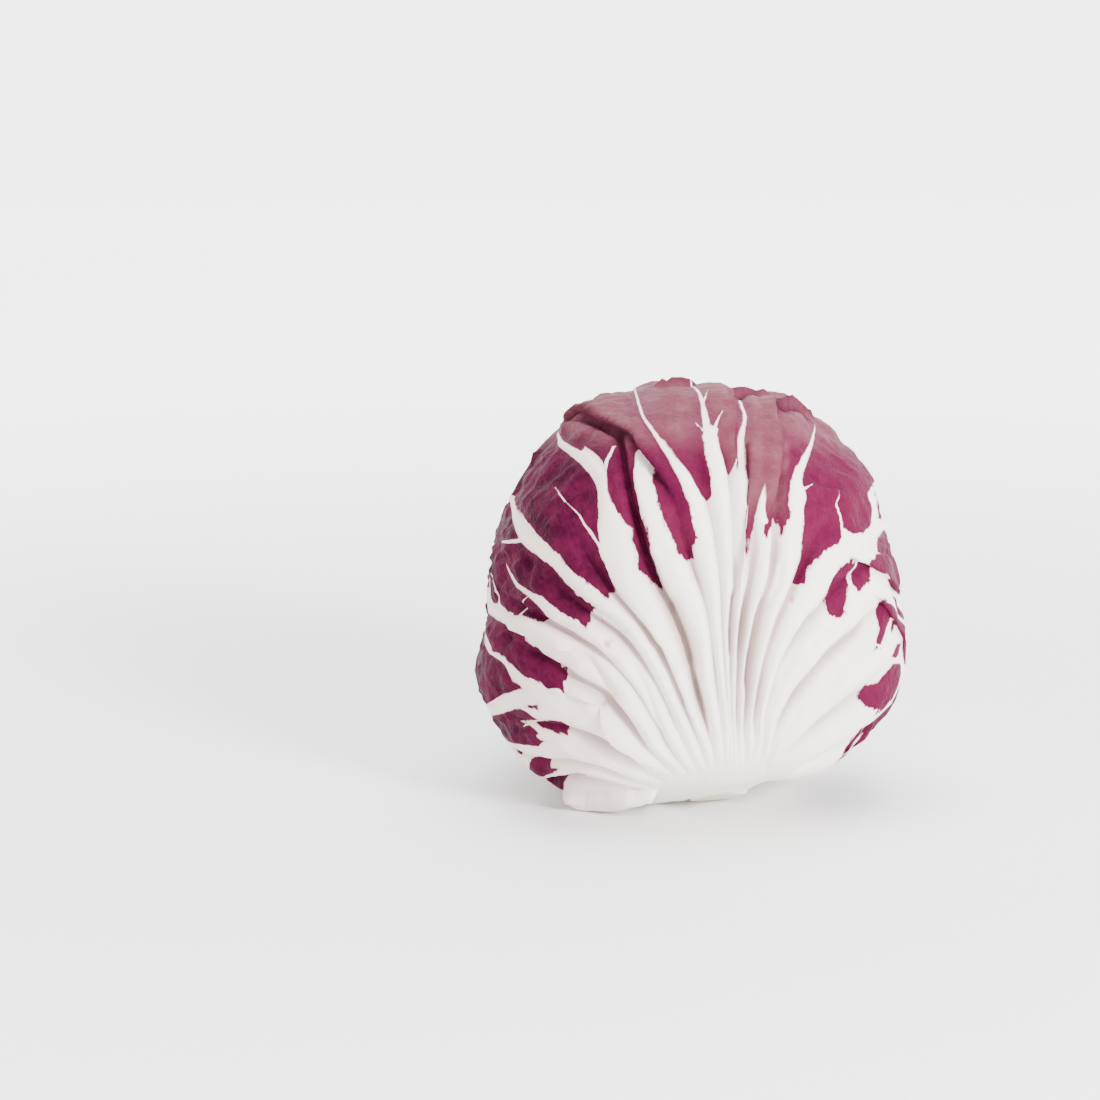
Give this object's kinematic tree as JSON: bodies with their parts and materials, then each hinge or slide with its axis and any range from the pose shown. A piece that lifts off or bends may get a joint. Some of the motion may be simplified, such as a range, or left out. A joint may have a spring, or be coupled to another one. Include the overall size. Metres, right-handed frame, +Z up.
{
  "type": "radicchio head",
  "caption": "Round head of red radicchio with fan-ribbed overlapping leaves wrapped about a tight inner head and a short cut stem, resting low on its underside.",
  "frame": {"origin": "bottom centre of the head's bounding box, on the floor it rests on", "axes": "+Z up as it lies; the pictured front, with the stem low in it, faces -Y; +X to the viewer's right"},
  "size_m": [0.1272, 0.126, 0.125],
  "materials": {
    "stem_cream": "moist cut plant flesh, matt cream",
    "leaf_wine": "waxy leaf, wine red with cream ribs, soft sheen",
    "heart_wine": "waxy packed leaves, wine red, soft sheen"
  },
  "bodies": {
    "root": {"stem": "stem_cream", "leaf_front": "leaf_wine", "leaf_back_right": "leaf_wine", "leaf_left": "leaf_wine", "leaf_right": "leaf_wine", "leaf_back_left": "leaf_wine", "inner_head": "heart_wine"}
  },
  "joints": []
}
